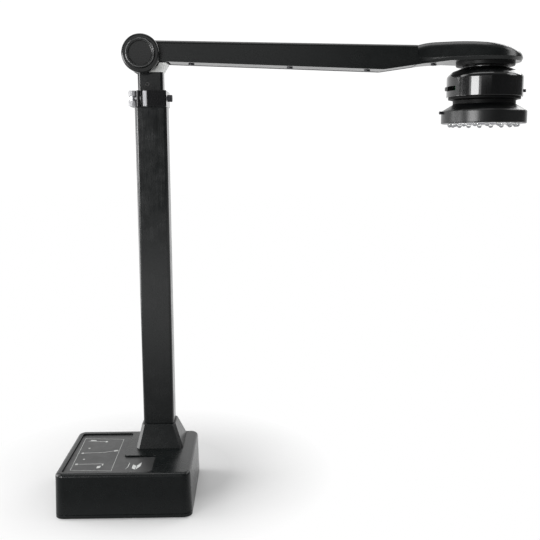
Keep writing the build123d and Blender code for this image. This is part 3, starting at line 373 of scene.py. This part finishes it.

# These two are less glossy than the other nodes of their material slots. The waist's darker colour and weak
# reflection are painted shade, standing in for the shade of its undercut below the head.
OWN_FINISHES = {
    "swivel_collar": plastic("matt_collar", (0.0028, 0.0030, 0.0031), roughness=0.40,
                             grain=0.3 * MM, depth=0.003 * MM, patchy=0.3, dust=0.0, specular=0.15),
    # Painted shade: the waist is made darker and nearly unreflecting where the head's undercut shades it.
    "head_carrier": plastic("waist_painted_shade", (0.0028, 0.0030, 0.0031), roughness=0.45,
                            grain=0.3 * MM, depth=0.004 * MM, patchy=0.5, dust=0.1, specular=0.08),
}

INK = plastic("white_ink", (0.42, 0.43, 0.42), roughness=0.5, grain=0.1 * MM, depth=0.003 * MM,
              edge=0.02 * MM, wear=0.0, dust=0.1)
BURNISHED = plastic("burnished_bead", (0.016, 0.017, 0.017), roughness=0.26, grain=0.2 * MM,
                    depth=0.0005 * MM, edge=0.02 * MM, wear=0.0, dust=0.0, patchy=0.2, specular=1.0)
PHOSPHOR = plastic("phosphor", (0.75, 0.62, 0.16), roughness=0.5, grain=0.15 * MM, depth=0.01 * MM,
                   edge=0.03 * MM, dust=0.0)


def apply_finishes():
    """The node's own finish where it has one, and otherwise that of its material slot."""
    for part in frame["record"]["subparts"]:
        materials = frame["nodes"][part["node"]].data.materials
        materials.clear()
        materials.append(OWN_FINISHES.get(part["node"], FINISHES[part["material_slot"]]))


# ---- mesh building ------------------------------------------------------------------------

def new_piece(name, mesh, body, slot, material=None):
    """A finished mesh as a piece that rides on a body."""
    data = bpy.data.meshes.new(name)
    bmesh.ops.recalc_face_normals(mesh, faces=mesh.faces)
    mesh.to_mesh(data)
    mesh.free()
    piece = bpy.data.objects.new(name, data)
    bpy.context.scene.collection.objects.link(piece)
    data.materials.append(material or FINISHES[slot])
    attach(piece, body)
    return piece


def join_rows(mesh, here, after):
    """Faces between two rows of vertices, each of which goes round once."""
    for i in range(len(here)):
        j = (i + 1) % len(here)
        mesh.faces.new((here[i], after[i], after[j], here[j]))


def add_prism(mesh, outline, low, high):
    """Closed upright prism on a flat outline."""
    lower = [mesh.verts.new((x, y, low)) for x, y in outline]
    upper = [mesh.verts.new((x, y, high)) for x, y in outline]
    mesh.faces.new(reversed(lower))
    mesh.faces.new(upper)
    join_rows(mesh, upper, lower)


def add_band(mesh, points, width, low, high, closed=False):
    """Flat line of one width through some points, mitred where it bends."""
    points = [Vector(p) for p in points]
    count = len(points)
    rows = []
    for i, point in enumerate(points):
        arrive = (point - points[i - 1]).normalized() if closed or i > 0 else None
        leave = (points[(i + 1) % count] - point).normalized() if closed or i < count - 1 else None
        first, last = arrive or leave, leave or arrive
        along = (first + last).normalized()
        side = Vector((-along.y, along.x)) * (width / 2 / along.dot(first))
        left, right = point + side, point - side
        section = ((left, low), (left, high), (right, high), (right, low))
        rows.append([mesh.verts.new((p.x, p.y, z)) for p, z in section])
    for i in range(count if closed else count - 1):
        join_rows(mesh, rows[i], rows[(i + 1) % count])
    if not closed:
        mesh.faces.new(rows[0])
        mesh.faces.new(reversed(rows[-1]))


def circle(centre, radius, steps=20):
    """Points round a circle."""
    turns = [2 * pi * i / steps for i in range(steps)]
    return [(centre[0] + radius * cos(a), centre[1] + radius * sin(a)) for a in turns]


def add_turned(mesh, profile, centre, steps=64):
    """Closed ring turned about an upright axis, from (radius, z) corners that go round its section."""
    rows = []
    for i in range(steps):
        across, away = cos(2 * pi * i / steps), sin(2 * pi * i / steps)
        rows.append([mesh.verts.new((centre[0] + r * across, centre[1] + r * away, z)) for r, z in profile])
    for i in range(steps):
        join_rows(mesh, rows[i], rows[(i + 1) % steps])


# ---- printed marks on the label -----------------------------------------------------------
LABEL_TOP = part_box("label_panel")[1].z
INK_LOW, INK_TOP = LABEL_TOP, LABEL_TOP + 0.04 * MM
FINE_LINE, BOLD_LINE, DOT_R = 0.35 * MM, 0.6 * MM, 1.1 * MM

# Corners of the marks on the label, in millimetres.
BORDER = [(-51.6, -43.5), (-12.2, -46.0), (-13.1, 36.3), (-53.8, 39.8)]
FIGURE_LINES = [
    [(-49.5, 31.8), (-31.5, 29.9)],
    [(-47.0, -0.9), (-26.5, 0.7), (-18.0, 3.9)],
    [(-47.0, -29.1), (-22.5, -28.8)],
]
FIGURE_BLOCKS = [
    [(-47.5, 33.0), (-41.5, 32.4), (-41.5, 34.6), (-47.5, 35.2)],
    [(-31.2, 28.4), (-29.0, 28.2), (-29.0, 31.2), (-31.2, 31.4)],
    [(-49.6, -2.4), (-47.4, -2.2), (-47.4, 0.4), (-49.6, 0.2)],
    [(-17.6, 2.2), (-13.6, 3.8), (-14.4, 6.8), (-18.2, 5.4)],
    [(-49.8, -30.6), (-47.4, -30.6), (-47.4, -27.6), (-49.8, -27.6)],
    [(-27.6, -39.6), (-24.2, -38.6), (-24.2, -33.4), (-27.6, -34.4)],
    [(-23.6, -32.6), (-22.4, -32.6), (-22.4, -29.8), (-23.6, -29.8)],
]
STEP_DOTS = [(-44.5, 12.1), (-44.0, -16.8)]
SIGN_RULE = [(2.8, -27.2), (2.3, -37.6), (0.9, -42.0)]
LEFT_PAGE = [(6.6, -31.6), (10.1, -34.4), (10.1, -43.6), (6.6, -40.8)]
RIGHT_PAGE = [(10.7, -34.4), (14.4, -26.2), (14.4, -35.4), (10.7, -43.6)]


def metres(points):
    """Points in millimetres as points in metres."""
    return [(x * MM, y * MM) for x, y in points]


def make_label_ink():
    """A ruled border, three fold-out pictures, step dots, and an open-book sign beside a rule."""
    mesh = bmesh.new()
    add_band(mesh, metres(BORDER), FINE_LINE, INK_LOW, INK_TOP, closed=True)
    for points in FIGURE_LINES:
        add_band(mesh, metres(points), BOLD_LINE, INK_LOW, INK_TOP)
    for outline in FIGURE_BLOCKS:
        add_prism(mesh, metres(outline), INK_LOW, INK_TOP)
    for dot in metres(STEP_DOTS):
        add_prism(mesh, circle(dot, DOT_R), INK_LOW, INK_TOP)
    add_band(mesh, metres(SIGN_RULE), BOLD_LINE, INK_LOW, INK_TOP)
    for page in (LEFT_PAGE, RIGHT_PAGE):
        add_prism(mesh, metres(page), INK_LOW, INK_TOP)
    new_piece("label_ink", mesh, "base", "tongue_white", INK)


# ---- contacts in the socket ---------------------------------------------------------------
CONTACT_COUNT, CONTACT_HALF, CONTACT_RISE = 4, 0.35 * MM, 0.12 * MM
TIP_GAP, ROOT_GAP = 0.3 * MM, 0.6 * MM              # from the tongue's ends to the contacts' ends


def make_usb_contacts():
    """Gilt contact strips on the socket's tongue."""
    low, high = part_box("usb_tongue")
    mesh = bmesh.new()
    pitch = (high.x - low.x) / CONTACT_COUNT
    root, tip = low.y + ROOT_GAP, high.y - TIP_GAP
    for i in range(CONTACT_COUNT):
        middle = low.x + pitch * (i + 0.5)
        left, right = middle - CONTACT_HALF, middle + CONTACT_HALF
        strip = [(left, root), (right, root), (right, tip), (left, tip)]
        add_prism(mesh, strip, high.z, high.z + CONTACT_RISE)
    new_piece("usb_contacts", mesh, "base", "contact_brass")


# ---- painted highlight strip on the clamp, and bead on the knob ---------------------------
SLANT_START = Vector((20.6, 8.0)) * MM              # the ends of the clamp boss's slanting face
SLANT_END = Vector((24.6, 5.6)) * MM
STRIP_START, STRIP_END, STRIP_MARGIN = 0.2 * MM, 4.4 * MM, 0.6 * MM
STRIP_ROOT, STRIP_SHOULDER, STRIP_FACE = -0.3 * MM, 0.3 * MM, 0.5 * MM
STRIP_CHAMFER = 0.3 * MM


def make_painted_highlight_strip():
    """Pale strip with chamfered sides on the slanting face in front of the clamp: a painted highlight,
    standing in for the light that this face reflects.
    """
    low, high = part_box("clamp_band")
    along = (SLANT_END - SLANT_START).normalized()
    out = Vector((along.y, -along.x))
    corners = [
        (STRIP_START, STRIP_ROOT), (STRIP_START, STRIP_SHOULDER), (STRIP_START + STRIP_CHAMFER, STRIP_FACE),
        (STRIP_END - STRIP_CHAMFER, STRIP_FACE), (STRIP_END, STRIP_SHOULDER), (STRIP_END, STRIP_ROOT),
    ]
    outline = [SLANT_START + along * a + out * b for a, b in corners]
    mesh = bmesh.new()
    add_prism(mesh, outline, low.z + STRIP_MARGIN, high.z - STRIP_MARGIN)
    # The lever's pale grey is used here as a painted highlight on the clamp's slanting face, not as a grey
    # part.
    new_piece("painted_highlight_strip", mesh, "base", "lever_grey")


BEAD_CIRCLE, BEAD_R, BEAD_SINK = 13.0 * MM, 0.55 * MM, 0.2 * MM
BEAD_ARC_STEPS = 8


def make_knob_bead():
    """Half-round polished bead on the face of the tension knob."""
    low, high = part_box("tension_knob")
    axis_x, axis_z = (low.x + high.x) / 2, (low.z + high.z) / 2
    arc = [pi * i / BEAD_ARC_STEPS for i in range(BEAD_ARC_STEPS + 1)]
    profile = [(BEAD_CIRCLE + BEAD_R * cos(a), BEAD_R * sin(a)) for a in arc]
    profile += [(BEAD_CIRCLE - BEAD_R, -BEAD_SINK), (BEAD_CIRCLE + BEAD_R, -BEAD_SINK)]
    mesh = bmesh.new()
    add_turned(mesh, profile, (0.0, 0.0), steps=128)
    lay_forward = Matrix.Translation((axis_x, low.y, axis_z)) @ Matrix.Rotation(pi / 2, 4, "X")
    bmesh.ops.transform(mesh, matrix=lay_forward, verts=mesh.verts)
    for face in mesh.faces:
        face.smooth = True
    new_piece("knob_bead", mesh, "knob", "disc_black", BURNISHED)


# ---- insides of the lamps and the lens ----------------------------------------------------
SWIVEL = ((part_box("lamp_ring")[0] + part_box("lamp_ring")[1]) / 2).xy
LAMP_COUNT, LAMP_CIRCLE = 18, 32.5 * MM
SEAT_DROP = 0.3 * MM                                # from the lamps' top to where the chips sit
CUP_BORE, CUP_MOUTH, CUP_OUTSIDE = 0.9 * MM, 1.9 * MM, 2.1 * MM
CUP_DEPTH, CUP_RISE = 1.3 * MM, 0.1 * MM
CHIP_R, CHIP_DROP, CHIP_RISE = 0.85 * MM, 0.25 * MM, 0.05 * MM


def make_lamp_insides():
    """A reflector cup and a phosphor-coated chip inside every clear lamp."""
    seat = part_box("lamps")[1].z - SEAT_DROP
    section = [
        (CUP_BORE, seat), (CUP_MOUTH, seat - CUP_DEPTH), (CUP_OUTSIDE, seat - CUP_DEPTH),
        (CUP_OUTSIDE, seat + CUP_RISE), (CUP_BORE, seat + CUP_RISE),
    ]
    cups, chips = bmesh.new(), bmesh.new()
    for centre in circle(SWIVEL, LAMP_CIRCLE, LAMP_COUNT):
        add_turned(cups, section, centre, steps=20)
        add_prism(chips, circle(centre, CHIP_R, steps=16), seat - CHIP_DROP, seat + CHIP_RISE)
    new_piece("lamp_cups", cups, "ring", "port_shell")
    new_piece("lamp_chips", chips, "ring", "tongue_white", PHOSPHOR)


BAFFLE_COUNT, BAFFLE_START, BAFFLE_PITCH = 3, 0.6 * MM, 1.6 * MM
BAFFLE_OUTSIDE, BAFFLE_BORE, BAFFLE_STEP = 5.5 * MM, 3.6 * MM, 0.7 * MM
BAFFLE_LIP, BAFFLE_DISH, BAFFLE_TOP = 0.3 * MM, 0.4 * MM, 0.9 * MM


def make_lens_rings():
    """Stepped baffles above the glass, each with a smaller bore than the one below it."""
    mesh = bmesh.new()
    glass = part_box("lens_glass")
    for step in range(BAFFLE_COUNT):
        z = glass[1].z + BAFFLE_START + BAFFLE_PITCH * step
        bore = BAFFLE_BORE - BAFFLE_STEP * step
        ring = [(bore, z), (BAFFLE_OUTSIDE, z + BAFFLE_DISH), (BAFFLE_OUTSIDE, z + BAFFLE_TOP),
                (bore, z + BAFFLE_LIP)]
        add_turned(mesh, ring, SWIVEL)
    new_piece("lens_baffles", mesh, "head", "face_grey")


# ---- camera and lights --------------------------------------------------------------------
CAMERA_PLACE = Vector((0.1231, -0.7528, 0.3438))
CAMERA_YAW, CAMERA_PITCH, CAMERA_ROLL = radians(1.378), radians(8.674), radians(-0.221)
CAMERA_LENS, CAMERA_REACH = 51.79, 50.0
HEAD_PLACE = Vector((0.3547, 0.028, 0.40))

# name, centre, what it aims at, width, height, radiance
SOFTBOXES = [
    ("key", (-0.698, -1.040, 0.41), HEAD_PLACE, 0.60, 0.32, 14.0),
    ("key_halo", (-0.73, -1.09, 0.41), HEAD_PLACE, 1.0, 0.36, 2.0),
    ("front", (-0.2, -2.6, 0.86), (0.1, 0.0, 0.437), 1.4, 0.42, 0.8),
    ("top", (0.1, 0.1, 1.9), (0.1, 0.1, 0.0), 1.2, 1.2, 2.2),
    ("low_left", (-0.95, 0.05, 0.24), (0.0, 0.05, 0.24), 0.8, 0.42, 7.0),
    ("high_left", (-1.1, 0.15, 1.15), (0.02, 0.0, 0.44), 0.9, 0.9, 3.5),
    ("right", (1.25, -0.15, 0.95), (0.1, 0.0, 0.3), 0.5, 0.5, 4.0),
    ("back_right", (1.3, 0.9, 1.35), HEAD_PLACE, 0.9, 0.9, 4.0),
]


def make_camera():
    """Camera that sees the scanner from the front, slightly from above."""
    data = bpy.data.cameras.new("camera")
    data.lens = CAMERA_LENS
    data.clip_end = CAMERA_REACH
    camera = bpy.data.objects.new("camera", data)
    bpy.context.scene.collection.objects.link(camera)
    turn = Matrix.Rotation(-CAMERA_YAW, 4, "Z") @ Matrix.Rotation(pi / 2 - CAMERA_PITCH, 4, "X")
    camera.matrix_world = Matrix.Translation(CAMERA_PLACE) @ turn @ Matrix.Rotation(CAMERA_ROLL, 4, "Z")
    bpy.context.scene.camera = camera


def add_softbox(name, centre, aim, width, height, radiance):
    """Rectangular soft light, which the camera doesn't see."""
    data = bpy.data.lights.new(name, "AREA")
    data.shape = "RECTANGLE"
    data.size, data.size_y = width, height
    data.energy = radiance * pi * width * height
    light = bpy.data.objects.new(name, data)
    bpy.context.scene.collection.objects.link(light)
    light.location = centre
    light.rotation_euler = (Vector(aim) - Vector(centre)).to_track_quat("-Z", "Y").to_euler()
    light.visible_camera = False


# ---- surroundings -------------------------------------------------------------------------
WORLD_WHITE, WORLD_DARK, WORLD_TOP = 1.05, 0.06, 0.35   # behind, in front, and overhead
WORLD_SLANT = 0.4                                       # turns the white part towards the left
WHITE_EDGE, TOP_EDGE = (0.28, 0.38), (0.45, 0.8)


def make_world():
    """White surroundings behind and at the left, dim behind the camera and at its right."""
    world = bpy.data.worlds.new("studio")
    bpy.context.scene.world = world
    world.use_nodes = True
    tree = world.node_tree
    coordinates = tree.nodes.new("ShaderNodeTexCoord")
    split = tree.nodes.new("ShaderNodeSeparateXYZ")
    tree.links.new(coordinates.outputs["Generated"], split.inputs[0])
    across = calc(tree, "MULTIPLY", split.outputs["X"], WORLD_SLANT)
    white = between(tree, calc(tree, "SUBTRACT", split.outputs["Y"], across), WHITE_EDGE)
    level = between(tree, white, WHOLE, (WORLD_DARK, WORLD_WHITE))
    top = between(tree, split.outputs["Z"], TOP_EDGE)
    low_part = calc(tree, "MULTIPLY", level, calc(tree, "SUBTRACT", 1.0, top))
    shone = calc(tree, "ADD", low_part, calc(tree, "MULTIPLY", top, WORLD_TOP))
    path = tree.nodes.new("ShaderNodeLightPath")
    seen = calc(tree, "MAXIMUM", shone, path.outputs["Is Camera Ray"])
    background = tree.nodes["Background"]
    tree.links.new(seen, background.inputs["Strength"])
    background.inputs["Color"].default_value = (1, 1, 1, 1)


# ---- floor --------------------------------------------------------------------------------
FLOOR_HALF = 6.0
FADE_CENTRE, FADE = (0.01, 0.062, 0.0), (0.09, 0.20)    # the paper turns white at these distances
PAPER_DARK, PAPER_LIGHT, PAPER_FIBRE = (0.60, 0.60, 0.60), (0.63, 0.63, 0.63), 1.0 * MM
PAPER = {"Roughness": 0.9, "Specular IOR Level": 0.1}
IN_FRONT = (0.0, -0.12)                                 # y at which the floor in front begins
FRONT_NEAR, FRONT_FAR = 0.27, 1.10                      # how bright it looks in reflections
FRONT_RISE, FRONT_FALL = (-0.3, -0.9), (-1.5, -2.4)     # y at which it gets brighter and dimmer


def mix_shaders(tree, factor, a, b):
    """Shader a where the factor is 0 and b where it is 1."""
    node = tree.nodes.new("ShaderNodeMixShader")
    for socket, value in zip(node.inputs, (factor, a, b)):
        tree.links.new(value, socket)
    return node.outputs[0]


def fading_paper(tree, shader, where):
    """Pale paper that turns into plain white light further away from the scanner."""
    paper = mixed(tree, noise(tree, where, PAPER_FIBRE, detail=4.0), PAPER_DARK, PAPER_LIGHT)
    tree.links.new(paper, shader.inputs["Base Color"])
    set_inputs(shader, PAPER)
    length = tree.nodes.new("ShaderNodeVectorMath")
    length.operation = "DISTANCE"
    tree.links.new(where, length.inputs[0])
    length.inputs[1].default_value = FADE_CENTRE
    far = between(tree, length.outputs["Value"], FADE)
    white = tree.nodes.new("ShaderNodeEmission")
    return mix_shaders(tree, far, shader.outputs[0], white.outputs[0])


def dim_in_reflections(tree, where, lit):
    """The floor in front of the scanner as a dim light, for reflections alone."""
    split = tree.nodes.new("ShaderNodeSeparateXYZ")
    tree.links.new(where, split.inputs[0])
    rise = between(tree, split.outputs["Y"], FRONT_RISE, (FRONT_NEAR, FRONT_FAR))
    fall = between(tree, split.outputs["Y"], FRONT_FALL, (FRONT_FAR, FRONT_NEAR))
    dim = tree.nodes.new("ShaderNodeEmission")
    tree.links.new(calc(tree, "MINIMUM", rise, fall), dim.inputs["Strength"])
    path = tree.nodes.new("ShaderNodeLightPath")
    in_front = between(tree, split.outputs["Y"], IN_FRONT)
    hidden = calc(tree, "MULTIPLY", in_front, path.outputs["Is Glossy Ray"])
    return mix_shaders(tree, hidden, lit, dim.outputs[0])


def paper_floor():
    """Paper that fades to white, is dim in reflections, and is clear when seen from below."""
    material, tree, shader = new_material("paper_floor")
    where = place(tree)
    lit = fading_paper(tree, shader, where)
    seen = dim_in_reflections(tree, where, lit)
    underneath = tree.nodes.new("ShaderNodeNewGeometry").outputs["Backfacing"]
    nothing = tree.nodes.new("ShaderNodeBsdfTransparent").outputs[0]
    surface = mix_shaders(tree, underneath, seen, nothing)
    tree.links.new(surface, tree.nodes["Material Output"].inputs["Surface"])
    return material


def make_floor():
    """Wide flat sheet at the height of the desk."""
    mesh = bmesh.new()
    bmesh.ops.create_grid(mesh, x_segments=8, y_segments=8, size=FLOOR_HALF)
    data = bpy.data.meshes.new("floor")
    mesh.to_mesh(data)
    mesh.free()
    data.materials.append(paper_floor())
    floor = bpy.data.objects.new("floor", data)
    bpy.context.scene.collection.objects.link(floor)


def make_studio():
    """Camera, surroundings, floor and lights."""
    bpy.context.scene.view_settings.view_transform = "Standard"
    make_camera()
    make_world()
    make_floor()
    for softbox in SOFTBOXES:
        add_softbox(*softbox)


make_label_ink()
make_usb_contacts()
make_painted_highlight_strip()
make_knob_bead()
make_lamp_insides()
make_lens_rings()
apply_finishes()
make_studio()
